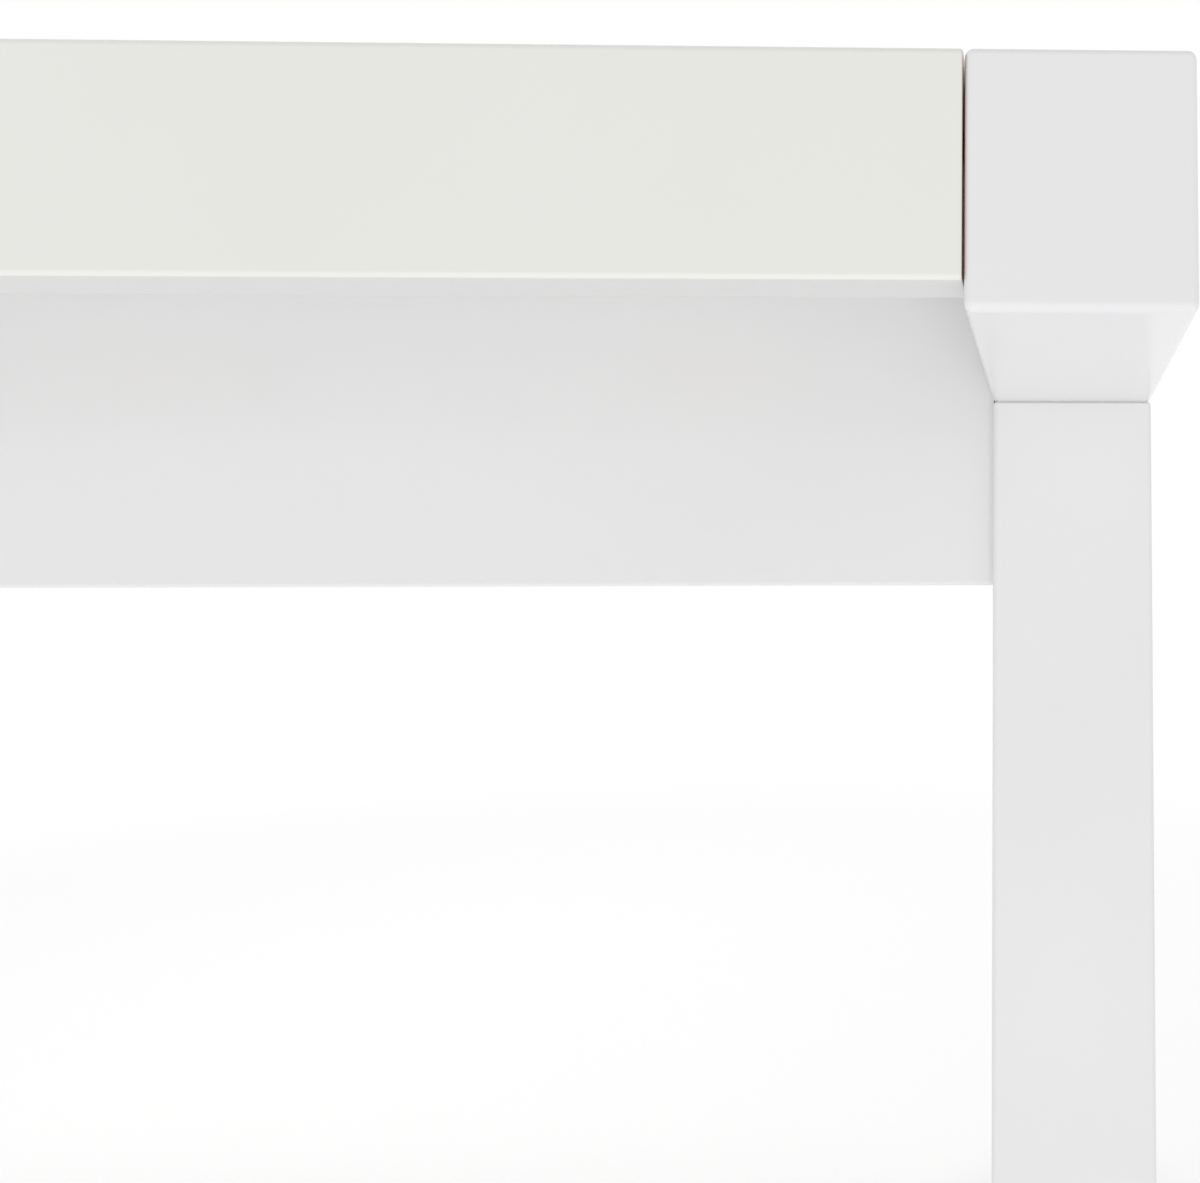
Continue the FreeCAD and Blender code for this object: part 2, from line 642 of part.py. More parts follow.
def make_pad():
    """Moulded pad with a rounded rim, a sloping shoulder and a pocket for the stem's head."""
    pocket = STEM_HEAD_RADIUS + HOLE_CLEARANCE
    pocket_floor = PAD_HEIGHT - STEM_HEAD_HEIGHT
    shoulder = PAD_HEIGHT - PAD_SHOULDER
    lean = PAD_EDGE_RADIUS * (1 - math.sqrt(0.5))
    points = [
        Vector(0, 0, 0),
        Vector(PAD_RADIUS - PAD_EDGE_RADIUS, 0, 0),
        Vector(PAD_RADIUS, 0, PAD_EDGE_RADIUS),
        Vector(PAD_RADIUS, 0, shoulder),
        Vector(PAD_RADIUS - PAD_SHOULDER, 0, PAD_HEIGHT),
        Vector(pocket, 0, PAD_HEIGHT),
        Vector(pocket, 0, pocket_floor),
        Vector(0, 0, pocket_floor),
    ]
    rim = Part.Arc(points[1], Vector(PAD_RADIUS - lean, 0, lean), points[2]).toShape()
    edges = [Part.makeLine(points[0], points[1]), rim]
    edges += [Part.makeLine(points[i], points[i + 1]) for i in range(2, len(points) - 1)]
    edges.append(Part.makeLine(points[-1], points[0]))
    pad = Part.Face(Part.Wire(edges)).revolve(Vector(), up, 360)
    pad.Placement = Placement(leg_axis, Rotation())
    return pad


def save(name, solids):
    """Write one piece, or one group of like pieces, to its own file."""
    shape = solids[0] if len(solids) == 1 else Part.makeCompound(solids)
    if not shape.isValid() or min(solid.Volume for solid in shape.Solids) <= 0:
        raise ValueError(name + " is not a sound solid")
    shape.exportStep("parts/" + name + ".step")
    print(name, len(shape.Solids), "solids", round(shape.Volume / 1000, 2), "cm3")


def build():
    """Make every piece of the table and write it."""
    os.makedirs("parts", exist_ok=True)
    ends = (("left", -1), ("right", 1))
    sides = (("front", -1), ("back", 1))

    end_bar = make_end_bar()
    end_apron = make_end_apron()
    angle_brackets = [make_angle_bracket(y) for y in angle_places]
    for end, side_x in ends:
        save("end_bar_" + end, [corner_copy(end_bar, side_x, 1)])
        save("end_apron_" + end, [corner_copy(end_apron, side_x, 1)])
        save("angle_brackets_" + end, [corner_copy(bracket, side_x, 1) for bracket in angle_brackets])

    long_apron = make_long_apron()
    edge_rail = make_edge_rail()
    glue_blocks = make_glue_blocks()
    top_clips = [make_top_clip(x) for x in clip_places]
    for side, side_y in sides:
        save("long_apron_" + side, [corner_copy(long_apron, 1, side_y)])
        save("edge_rail_" + side, [corner_copy(edge_rail, 1, side_y)])
        save("glue_blocks_" + side, [corner_copy(block, 1, side_y) for block in glue_blocks])
        save("top_clips_" + side, [corner_copy(clip, 1, side_y) for clip in top_clips])

    corner_pieces = {
        "leg": make_leg(),
        "corner_bracket": make_corner_bracket(),
        "leveller_stem": make_stem(),
        "leveller_pad": make_pad(),
    }
    for piece, solid in corner_pieces.items():
        for side, side_y in sides:
            for end, side_x in ends:
                save("_".join([piece, side, end]), [corner_copy(solid, side_x, side_y)])

    save("top_panel", [make_top_panel()])
    for number, x in enumerate(brace_places, start=1):
        save("cross_brace_" + str(number), [make_brace(x)])

    corner_groups = {
        "hanger_bolts": [make_hanger_bolt()],
        "bracket_washers": [make_washer()],
        "wing_nuts": [make_wing_nut()],
        "leveller_inserts": [make_insert()],
        "apron_dowels": [dowel(seat, 0, 0) for seat in dowel_seats],
        "bracket_screws": [
            screw(end_flange_seat, outward, STEEL_THICKNESS + SCREW_BITE),
            screw(long_flange_seat, backward, STEEL_THICKNESS + SCREW_BITE),
        ],
    }
    for group, solids in corner_groups.items():
        save(group, [copy for solid in solids for copy in corner_group(solid)])

    save("clip_screws", [screw(seat, up, clip_screw_bite) for seat in clip_screw_seats])
    save("brace_screws", [screw(seat, up, brace_screw_bite) for seat in brace_screw_seats])
    angle_screws = [screw(seat, up, STEEL_THICKNESS + SCREW_BITE) for seat in angle_top_seats]
    angle_screws += [screw(seat, outward, STEEL_THICKNESS + SCREW_BITE) for seat in angle_side_seats]
    save("angle_screws", angle_screws + [corner_copy(solid, -1, 1) for solid in angle_screws])


build()
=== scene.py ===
import json
import math

import bpy
from mathutils import Euler, Matrix, Vector


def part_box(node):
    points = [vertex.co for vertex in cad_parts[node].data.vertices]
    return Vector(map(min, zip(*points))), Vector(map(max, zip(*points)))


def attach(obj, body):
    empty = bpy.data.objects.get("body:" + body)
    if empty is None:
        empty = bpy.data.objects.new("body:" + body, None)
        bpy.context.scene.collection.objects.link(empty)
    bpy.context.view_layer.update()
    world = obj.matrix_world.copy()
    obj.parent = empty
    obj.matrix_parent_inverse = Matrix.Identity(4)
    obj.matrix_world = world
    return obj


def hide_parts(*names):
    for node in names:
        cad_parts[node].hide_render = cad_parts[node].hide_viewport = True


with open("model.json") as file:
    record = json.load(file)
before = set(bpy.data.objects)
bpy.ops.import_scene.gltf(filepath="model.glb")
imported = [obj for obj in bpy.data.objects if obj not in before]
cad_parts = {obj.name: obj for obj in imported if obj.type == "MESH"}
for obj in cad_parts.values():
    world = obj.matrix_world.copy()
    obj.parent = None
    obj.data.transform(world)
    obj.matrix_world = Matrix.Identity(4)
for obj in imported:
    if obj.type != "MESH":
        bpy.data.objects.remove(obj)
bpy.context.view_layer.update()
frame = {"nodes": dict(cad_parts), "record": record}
nodes = frame["nodes"]

# White dining table: lacquered boards and bars, bare wood inside, zinc-plated fittings and moulded feet.
# Metres, +X to the right, front at -Y, floor at Z = 0.
MM = 0.001
ALONG_X, ALONG_Y = 0, 1
CORNERS = ("front_left", "front_right", "back_left", "back_right")
SCREW_GROUPS = ("bracket_screws", "clip_screws", "brace_screws", "angle_screws")

# Photograph's frame and lens in pixels, and the eye that fits its edges, with its angles in degrees
IMAGE_WIDTH = 1200
IMAGE_HEIGHT = 1183
SENSOR_WIDTH = 36.0
FOCAL_LENGTH_PX = 1038.4
OPTICAL_CENTRE_PX = (1079.1, 518.0)
EYE_FROM_BAR_CORNER = Vector((23.84, -275.65, -146.7)) * MM
EYE_TURN = 1.484
EYE_LIFT = 3.58
EYE_ROLL = -0.169
NEAREST_SEEN = 10 * MM

# Mixes: inputs and outputs that share a name with others go by their number
COLOUR_MIX = {"data_type": "RGBA"}
MIX_SHARE, MIX_FROM, MIX_TO = 0, 6, 7
MIXED_COLOUR = 2
SHADER_FROM, SHADER_TO = 1, 2

# Floor: its own tone and a glow, which together make white where no shade falls
FLOOR_HALF_SIZE = 30.0
FLOOR_FADE_START = 1.0
FLOOR_FADE_END = 2.6
FLOOR_COLOUR = "#CBCBCB"
FLOOR_GLOW = 0.46
# Painted shade at the feet: how far the floor's glow looks for the table, and with how many rays
CONTACT_SHADE_REACH = 0.12
CONTACT_SHADE_RAYS = 4
PLAIN_WHITE = "#FFFFFF"

# Plain soft light: a white room that is brighter below the horizon, and two lamps.
# The front lamp stands below the floor's height, so it leaves no pool of light on the floor.
# The top lamp hangs high behind the table, so the shadow falls under and before it.
# Each lamp has its place, its width and height, and its power.
ROOM_LIGHT_BELOW = 0.93
ROOM_LIGHT_ABOVE = 0.63
ROOM_TINT = {MIX_FROM: "#FDFDFF", MIX_TO: "#FFFFFF"}
HORIZON_BLEND = 0.1
LAMPS = {
    "front_lamp": (Vector((0.8, -2.2, -0.2)), (1.8, 0.4), 9.8),
    "top_lamp": (Vector((-0.3, 1.2, 3.0)), (1.6, 1.6), 30.0),
}
LAMP_TARGET = Vector((0.6, -0.2, 0.66))

# Finishes: the two tones that each one wanders between, and the least and most roughness of the lacquers
WARM_WHITE = {MIX_FROM: "#E6E7E0", MIX_TO: "#EAEBE5"}
COOL_WHITE = {MIX_FROM: "#E6E6E6", MIX_TO: "#EAEAEA"}
PANEL_BACKING = {MIX_FROM: "#E6E6E6", MIX_TO: "#EAEAEA"}
# Rails' underside: painted shade, a darker white that tones it like the shaded apron behind the rails
RAIL_UNDERSIDE_PAINTED_SHADE = {MIX_FROM: "#D6D6D4", MIX_TO: "#DEDEDC"}
CUT_BOARD = {MIX_FROM: "#A5774F", MIX_TO: "#C39A70"}
POPLAR = {MIX_FROM: "#D2BD97", MIX_TO: "#E9DCC0"}
POPLAR_FLECK = {MIX_FROM: "#C4A87C", MIX_TO: "#AC9066"}
ZINC = {MIX_FROM: "#B4B6B6", MIX_TO: "#D6D9DE"}
NYLON = {MIX_FROM: "#4A4B4E", MIX_TO: "#5A5B5E"}
SATIN = (0.3, 0.36)
HALF_GLOSS = (0.22, 0.28)

# How well a face agrees with a coat's direction where the coat starts, and where it is whole
COAT_EDGE = (0.9, 0.98)

# Machine thread: a three-cornered ridge whose root sits in the rod
THREAD_PITCH = 1.25 * MM
THREAD_DEPTH = 0.6 * MM
THREAD_STEPS = 16
RIDGE_DEPTH = 1.3 * THREAD_DEPTH
RIDGE_SPREAD = 0.5 * THREAD_PITCH
HEIGHT_OF_UNIT_TRIANGLE = 1.5

# Pan head screws: the head's outline, from its crown down to its seat, in parts of its radius and height
SCREW_HEAD_RADIUS = 4.0 * MM
SCREW_HEAD_HEIGHT = 2.4 * MM
SCREW_HEAD_OUTLINE = ((0.45, 1.0), (0.7, 0.95), (0.88, 0.75), (0.97, 0.45), (1.0, 0.15), (0.97, 0.0))
SCREW_RADIUS = 2.0 * MM
SCREW_POINT_RADIUS = 0.1 * SCREW_RADIUS
SCREW_POINT_LENGTH = 2 * SCREW_RADIUS
RECESS_LENGTH = 4.4 * MM
RECESS_WIDTH = 0.9 * MM
RECESS_DEPTH = 1.3 * MM

# Hanger bolts and foot stems: what their ends keep of the radius
BOLT_POINT_SHARE = 0.5
BOLT_TIP_SHARE = 0.7
STEM_RADIUS = 4.0 * MM
STEM_TIP_SHARE = 0.75

# Meshes
ROUND_SIDES = 24
SMOOTH_ANGLE = math.radians(35)
MERGE_DISTANCE = 0.001 * MM


def linear(hex_colour):
    """Turn an sRGB hex value into the linear colour that a shader takes."""
    channels = [int(hex_colour[i:i + 2], 16) / 255 for i in (1, 3, 5)]
    return [c / 12.92 if c <= 0.04045 else ((c + 0.055) / 1.055) ** 2.4 for c in channels] + [1.0]


def add(tree, kind, settings=None, links=None):
    """Add a node with its settings and links; an input goes by name or number, a colour by its hex value."""
    node = tree.nodes.new(kind)
    for key, value in (settings or {}).items():
        if isinstance(key, int) or key in node.inputs:
            node.inputs[key].default_value = linear(value) if isinstance(value, str) else value
        else:
            setattr(node, key, value)
    for key, socket in (links or {}).items():
        tree.links.new(socket, node.inputs[key])
    return node


def new_material(name):
    """Start a material with an empty node tree."""
    material = bpy.data.materials.new(name)
    material.use_nodes = True
    material.node_tree.nodes.clear()
    return material, material.node_tree


def facing(tree, direction):
    """Mask of the faces that look along a direction."""
    start, whole = COAT_EDGE
    normal = add(tree, "ShaderNodeNewGeometry").outputs["Normal"]
    turn = add(tree, "ShaderNodeVectorMath", {"operation": "DOT_PRODUCT", 1: direction}, {0: normal})
    mask = add(tree, "ShaderNodeMapRange", {"From Min": start, "From Max": whole},
               {"Value": turn.outputs["Value"]})
    return mask.outputs["Result"]


def bare_ends_and_underside(tree, place, colour, underside):
    """Brown board on the cut ends in the seams beside the bars, and another colour underneath: the panel's
    backing coat, and on the rails a painted shade, darker, that tones them like the shaded apron behind
    them.
    """
    fibre_size = 1.5 * MM
    fibres = add(tree, "ShaderNodeTexNoise", {"Scale": 1 / fibre_size, "Detail": 3.0}, {"Vector": place})
    board = add(tree, "ShaderNodeMix", COLOUR_MIX | CUT_BOARD, {MIX_SHARE: fibres.outputs["Fac"]})
    underside_coat_and_painted_shade = add(tree, "ShaderNodeMix", COLOUR_MIX | underside, {MIX_SHARE: fibres.outputs["Fac"]})
    for direction, coat in (((1, 0, 0), board), ((-1, 0, 0), board), ((0, 0, -1), underside_coat_and_painted_shade)):
        covered = add(tree, "ShaderNodeMix", COLOUR_MIX, {
            MIX_SHARE: facing(tree, direction), MIX_FROM: colour, MIX_TO: coat.outputs[MIXED_COLOUR],
        })
        colour = covered.outputs[MIXED_COLOUR]
    return colour


def sprayed_lacquer(name, tones, roughness, underside=None):
    """Sprayed lacquer on board: an even white, a faint orange peel and a gloss that wanders a little."""
    cloud_size, gloss_patch_size, peel_size, peel_height = 90 * MM, 35 * MM, 2.5 * MM, 0.05 * MM
    smoothest, dullest = roughness
    material, tree = new_material(name)
    place = add(tree, "ShaderNodeTexCoord").outputs["Object"]
    cloud = add(tree, "ShaderNodeTexNoise", {"Scale": 1 / cloud_size, "Detail": 3.0}, {"Vector": place})
    white = add(tree, "ShaderNodeMix", COLOUR_MIX | tones, {MIX_SHARE: cloud.outputs["Fac"]})
    colour = white.outputs[MIXED_COLOUR]
    # Bare board on the cut ends, and a colour underneath, which on the rails is a painted shade
    if underside:
        colour = bare_ends_and_underside(tree, place, colour, underside)
    drift = add(tree, "ShaderNodeTexNoise", {"Scale": 1 / gloss_patch_size, "Detail": 2.0},
                {"Vector": place})
    gloss = add(tree, "ShaderNodeMapRange", {"To Min": smoothest, "To Max": dullest},
                {"Value": drift.outputs["Fac"]})
    peel = add(tree, "ShaderNodeTexNoise", {"Scale": 1 / peel_size, "Detail": 1.0}, {"Vector": place})
    bump = add(tree, "ShaderNodeBump", {"Strength": 0.12, "Distance": peel_height},
               {"Height": peel.outputs["Fac"]})
    shader = add(tree, "ShaderNodeBsdfPrincipled", {
        "IOR": 1.5, "Coat Weight": 0.35, "Coat Roughness": 0.12,
    }, {
        "Base Color": colour, "Roughness": gloss.outputs["Result"], "Normal": bump.outputs["Normal"],
    })
    add(tree, "ShaderNodeOutputMaterial", links={"Surface": shader.outputs["BSDF"]})
    return material


def bare_poplar(name, grain_axis):
    """Planed poplar left bare: a pale cream, long soft grain and short tan flecks along one axis."""
    grain_width, grain_length, grain_height = 3.5 * MM, 90 * MM, 0.1 * MM
    fleck_width, fleck_length = 1.2 * MM, 9 * MM
    grain_scale = [1 / grain_width] * 3
    grain_scale[grain_axis] = 1 / grain_length
    fleck_scale = [1 / fleck_width] * 3
    fleck_scale[grain_axis] = 1 / fleck_length
    material, tree = new_material(name)
    place = add(tree, "ShaderNodeTexCoord").outputs["Object"]
    grain_place = add(tree, "ShaderNodeMapping", {"Scale": grain_scale}, {"Vector": place})
    grain = add(tree, "ShaderNodeTexNoise", {"Scale": 1.0, "Detail": 6.0},
                {"Vector": grain_place.outputs["Vector"]})
    wood = add(tree, "ShaderNodeMix", COLOUR_MIX | POPLAR, {MIX_SHARE: grain.outputs["Fac"]})
    fleck_place = add(tree, "ShaderNodeMapping", {"Scale": fleck_scale}, {"Vector": place})
    flecks = add(tree, "ShaderNodeTexNoise", {"Scale": 1.0, "Detail": 1.0},
                 {"Vector": fleck_place.outputs["Vector"]})
    fleck = add(tree, "ShaderNodeMix", COLOUR_MIX | POPLAR_FLECK, {MIX_SHARE: flecks.outputs["Fac"]})
    dark = add(tree, "ShaderNodeMapRange", {"From Min": 0.62, "From Max": 0.72, "To Max": 0.55},
               {"Value": flecks.outputs["Fac"]})
    flecked = add(tree, "ShaderNodeMix", COLOUR_MIX, {
        MIX_SHARE: dark.outputs["Result"], MIX_FROM: wood.outputs[MIXED_COLOUR],
        MIX_TO: fleck.outputs[MIXED_COLOUR],
    })
    bump = add(tree, "ShaderNodeBump", {"Strength": 0.3, "Distance": grain_height},
               {"Height": grain.outputs["Fac"]})
    shader = add(tree, "ShaderNodeBsdfPrincipled", {"IOR": 1.5, "Roughness": 0.62}, {
        "Base Color": flecked.outputs[MIXED_COLOUR], "Normal": bump.outputs["Normal"],
    })
    add(tree, "ShaderNodeOutputMaterial", links={"Surface": shader.outputs["BSDF"]})
    return material


def zinc_plated_steel(name):
    """Zinc-plated steel: bright grey with a cool bloom, slightly uneven gloss and a fine grain.

    The grain is drawn coarser than the real one, so that it shows.
    """
    bloom_size, grain_size, grain_height = 7 * MM, 0.5 * MM, 0.02 * MM
    material, tree = new_material(name)
    place = add(tree, "ShaderNodeTexCoord").outputs["Object"]
    bloom = add(tree, "ShaderNodeTexNoise", {"Scale": 1 / bloom_size, "Detail": 4.0}, {"Vector": place})
    grey = add(tree, "ShaderNodeMix", COLOUR_MIX | ZINC, {MIX_SHARE: bloom.outputs["Fac"]})
    gloss = add(tree, "ShaderNodeMapRange", {"To Min": 0.24, "To Max": 0.42},
                {"Value": bloom.outputs["Fac"]})
    grain = add(tree, "ShaderNodeTexNoise", {"Scale": 1 / grain_size, "Detail": 2.0}, {"Vector": place})
    bump = add(tree, "ShaderNodeBump", {"Strength": 0.15, "Distance": grain_height},
               {"Height": grain.outputs["Fac"]})
    shader = add(tree, "ShaderNodeBsdfPrincipled", {"Metallic": 1.0}, {
        "Base Color": grey.outputs[MIXED_COLOUR], "Roughness": gloss.outputs["Result"],
        "Normal": bump.outputs["Normal"],
    })
    add(tree, "ShaderNodeOutputMaterial", links={"Surface": shader.outputs["BSDF"]})
    return material


def moulded_nylon(name):
    """Moulded grey nylon: a dull skin with a spark-eroded texture.

    The texture is drawn coarser than the real one, so that it shows.
    """
    cloud_size, texture_size, texture_height = 6 * MM, 0.6 * MM, 0.05 * MM
    material, tree = new_material(name)
    place = add(tree, "ShaderNodeTexCoord").outputs["Object"]
    cloud = add(tree, "ShaderNodeTexNoise", {"Scale": 1 / cloud_size, "Detail": 3.0}, {"Vector": place})
    grey = add(tree, "ShaderNodeMix", COLOUR_MIX | NYLON, {MIX_SHARE: cloud.outputs["Fac"]})
    skin = add(tree, "ShaderNodeTexNoise", {"Scale": 1 / texture_size, "Detail": 2.0}, {"Vector": place})
    bump = add(tree, "ShaderNodeBump", {"Strength": 0.35, "Distance": texture_height},
               {"Height": skin.outputs["Fac"]})
    shader = add(tree, "ShaderNodeBsdfPrincipled", {"IOR": 1.53, "Roughness": 0.5}, {
        "Base Color": grey.outputs[MIXED_COLOUR], "Normal": bump.outputs["Normal"],
    })
    add(tree, "ShaderNodeOutputMaterial", links={"Surface": shader.outputs["BSDF"]})
    return material


def finish_nodes():
    """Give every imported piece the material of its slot; panel and braces get their own kind of it."""
    panel_lacquer = sprayed_lacquer("warm_white_lacquer_on_backed_board", WARM_WHITE, SATIN, PANEL_BACKING)
    brace_poplar = bare_poplar("bare_poplar_along_y", ALONG_Y)
    by_slot = {
        # The rails' lacquer carries a painted shade on its underside
        "warm_white_lacquer": sprayed_lacquer("warm_white_lacquer", WARM_WHITE, SATIN, RAIL_UNDERSIDE_PAINTED_SHADE),
        "white_lacquer": sprayed_lacquer("white_lacquer", COOL_WHITE, HALF_GLOSS),
        "bare_wood": bare_poplar("bare_poplar_along_x", ALONG_X),
        "zinc_steel": zinc_plated_steel("zinc_plated_steel"),
        "foot_plastic": moulded_nylon("moulded_nylon"),
    }
    for row in frame["record"]["subparts"]:
        name = row["node"]
        material = by_slot[row["material_slot"]]
        if name == "top_panel":
            material = panel_lacquer
        elif name.startswith("cross_brace"):
            material = brace_poplar
        nodes[name].data.materials.clear()
        nodes[name].data.materials.append(material)
    return by_slot


def only(*objects):
    """Select these objects alone, the first one active."""
    bpy.ops.object.select_all(action="DESELECT")
    for item in objects:
        item.select_set(True)
    bpy.context.view_layer.objects.active = objects[0]


def solid_boxes(name):
    """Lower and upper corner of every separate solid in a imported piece."""
    copy = nodes[name].copy()
    copy.data = copy.data.copy()
    bpy.context.scene.collection.objects.link(copy)
    only(copy)
    bpy.ops.object.mode_set(mode="EDIT")
    bpy.ops.mesh.select_all(action="SELECT")
    bpy.ops.mesh.remove_doubles(threshold=MERGE_DISTANCE)
    bpy.ops.mesh.separate(type="LOOSE")
    bpy.ops.object.mode_set(mode="OBJECT")
    boxes = []
    for solid in bpy.context.selected_objects:
        corners = [solid.matrix_world @ Vector(corner) for corner in solid.bound_box]
        low = Vector(min(corner[i] for corner in corners) for i in range(3))
        high = Vector(max(corner[i] for corner in corners) for i in range(3))
        boxes.append((low, high))
    bpy.ops.object.delete()
    return boxes


def turned_piece(rings):
    """Closed round piece about Z, grown ring by ring; each ring is a radius and a height."""
    bpy.ops.object.select_all(action="DESELECT")
    radius, height = rings[0]
    bpy.ops.mesh.primitive_circle_add(
        vertices=ROUND_SIDES, radius=radius, fill_type="NGON", location=(0, 0, height)
    )
    piece = bpy.context.object
    bpy.ops.object.transform_apply()
    bpy.ops.object.mode_set(mode="EDIT")
    bpy.ops.mesh.select_all(action="SELECT")
    for next_radius, next_height in rings[1:]:
        bpy.ops.mesh.extrude_region_move(TRANSFORM_OT_translate={"value": (0, 0, next_height - height)})
        ratio = next_radius / radius
        bpy.ops.transform.resize(value=(ratio, ratio, 1), center_override=(0, 0, next_height))
        radius, height = next_radius, next_height
    bpy.ops.mesh.select_all(action="SELECT")
    bpy.ops.mesh.normals_make_consistent(inside=False)
    bpy.ops.object.mode_set(mode="OBJECT")
    return piece


def carve(piece, tool, operation):
    """Join a tool to a piece or take it away, and drop the tool."""
    only(piece)
    change = piece.modifiers.new("change", "BOOLEAN")
    change.operation = operation
    change.solver = "EXACT"
    change.object = tool
    bpy.ops.object.modifier_apply(modifier="change")
    only(tool)
    bpy.ops.object.delete()


def wind_thread(piece, radius, low, high):
    """Wind a three-cornered ridge round a rod about Z, between two heights."""
    bpy.ops.object.select_all(action="DESELECT")
    bpy.ops.mesh.primitive_circle_add(
        vertices=3, radius=1, fill_type="NOTHING", rotation=(math.pi / 2, math.pi / 2, 0)
    )
    ridge = bpy.context.object
    bpy.ops.object.transform_apply()
    reach = RIDGE_DEPTH / HEIGHT_OF_UNIT_TRIANGLE
    bpy.ops.transform.resize(value=(reach, 1, RIDGE_SPREAD))
    bpy.ops.transform.translate(value=(radius - RIDGE_DEPTH + reach / 2, 0, low))
    bpy.ops.object.transform_apply()
    wind = ridge.modifiers.new("wind", "SCREW")
    wind.screw_offset = THREAD_PITCH
    wind.iterations = int((high - low) / THREAD_PITCH)
    wind.steps = wind.render_steps = THREAD_STEPS
    bpy.ops.object.modifier_apply(modifier="wind")
    bpy.ops.object.mode_set(mode="EDIT")
    bpy.ops.mesh.select_all(action="SELECT")
    bpy.ops.mesh.fill_holes(sides=3)
    bpy.ops.mesh.select_all(action="SELECT")
    bpy.ops.mesh.normals_make_consistent(inside=False)
    bpy.ops.object.mode_set(mode="OBJECT")
    carve(piece, ridge, "UNION")


def put_in_place(pattern, places):
    """Copies of a pattern made about Z, each with its own mesh, at its foot and along its direction."""
    copies = []
    for foot, direction in places:
        copy = pattern.copy()
        copy.data = pattern.data.copy()
        copy.location = foot
        copy.rotation_euler = direction.to_track_quat("Z", "Y").to_euler()
        bpy.context.scene.collection.objects.link(copy)
        copies.append(copy)
    only(pattern)
    bpy.ops.object.delete()
    only(*copies)
    bpy.ops.object.transform_apply()
    if len(copies) > 1:
        bpy.ops.object.join()
    return copies[0]


def dress(piece, name, node, body, material):
    """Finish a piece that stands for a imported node."""
    only(piece)
    bpy.ops.object.shade_smooth_by_angle(angle=SMOOTH_ANGLE)
    piece.name = name
    piece.data.materials.clear()
    piece.data.materials.append(material)
    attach(piece, body)
    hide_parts(node)


def pan_head_screws(node, steel):
    """Domed screw heads with a cross recess, where a packed group of equal screws has its own."""
    boxes = solid_boxes(node)
    full_length = max(max(high - low) for low, high in boxes)
    shank_length = full_length - SCREW_HEAD_HEIGHT
    places = []
    for low, high in boxes:
        size = high - low
        axis = list(size).index(max(size))
        middle = (low + high) / 2
        direction = Vector()
        direction[axis] = math.copysign(1, middle[axis])
        places.append((middle + direction * (SCREW_HEAD_HEIGHT - full_length / 2), direction))
    head = [(across * SCREW_HEAD_RADIUS, -up * SCREW_HEAD_HEIGHT) for across, up in SCREW_HEAD_OUTLINE]
    shank = [(SCREW_RADIUS, 0), (SCREW_RADIUS, shank_length - SCREW_POINT_LENGTH)]
    point = [(SCREW_POINT_RADIUS, shank_length)]
    pattern = turned_piece(head + shank + point)
    for length, width in ((RECESS_LENGTH, RECESS_WIDTH), (RECESS_WIDTH, RECESS_LENGTH)):
        bpy.ops.object.select_all(action="DESELECT")
        bpy.ops.mesh.primitive_cube_add(size=1, location=(0, 0, -SCREW_HEAD_HEIGHT))
        cutter = bpy.context.object
        bpy.ops.transform.resize(value=(length, width, 2 * RECESS_DEPTH))
        bpy.ops.object.transform_apply()
        carve(pattern, cutter, "DIFFERENCE")
    screws = put_in_place(pattern, places)
    dress(screws, "pan_head_" + node, node, "table", steel)


def threaded_bolts(steel):
    """Hanger bolts across the corners, with a machine thread from the leg out to the tip."""
    diagonal = math.sqrt(0.5)
    boxes = solid_boxes("hanger_bolts")
    places = []
    for low, high in boxes:
        middle = (low + high) / 2
        inward = Vector((math.copysign(diagonal, -middle.x), math.copysign(diagonal, -middle.y), 0))
        places.append((middle, inward))
    radius = max(high.z - low.z for low, high in boxes) / 2
    box_length = max(high.x - low.x for low, high in boxes) / diagonal
    # The ends taper to half the radius, so along the diagonal the box is a radius longer than the bolt
    half = (box_length - radius) / 2
    core = radius - THREAD_DEPTH
    point = BOLT_POINT_SHARE * radius
    pattern = turned_piece([
        (point, -half), (radius, point - half), (radius, 0), (core, THREAD_DEPTH),
        (core, half - THREAD_DEPTH), (BOLT_TIP_SHARE * core, half),
    ])
    wind_thread(pattern, radius, 2 * THREAD_DEPTH, half - THREAD_PITCH)
    bolts = put_in_place(pattern, places)
    dress(bolts, "threaded_hanger_bolts", "hanger_bolts", "table", steel)


def threaded_stem(corner, steel):
    """Screw foot's stem with its thread and round head."""
    node = "leveller_stem_" + corner
    low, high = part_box(node)
    pad_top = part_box("leveller_pad_" + corner)[1].z
    head_radius = (high.x - low.x) / 2
    head = pad_top - low.z
    tip = high.z - low.z
    core = STEM_RADIUS - THREAD_DEPTH
    pattern = turned_piece([
        (head_radius, 0), (head_radius, head), (core, head), (core, tip - THREAD_DEPTH),
        (STEM_TIP_SHARE * core, tip),
    ])
    wind_thread(pattern, STEM_RADIUS, head + THREAD_PITCH, tip - THREAD_PITCH)
    foot = Vector(((low.x + high.x) / 2, (low.y + high.y) / 2, low.z))
    upward = Vector((0, 0, 1))
    stem = put_in_place(pattern, [(foot, upward)])
    dress(stem, "threaded_stem_" + corner, node, "leveller_" + corner, steel)


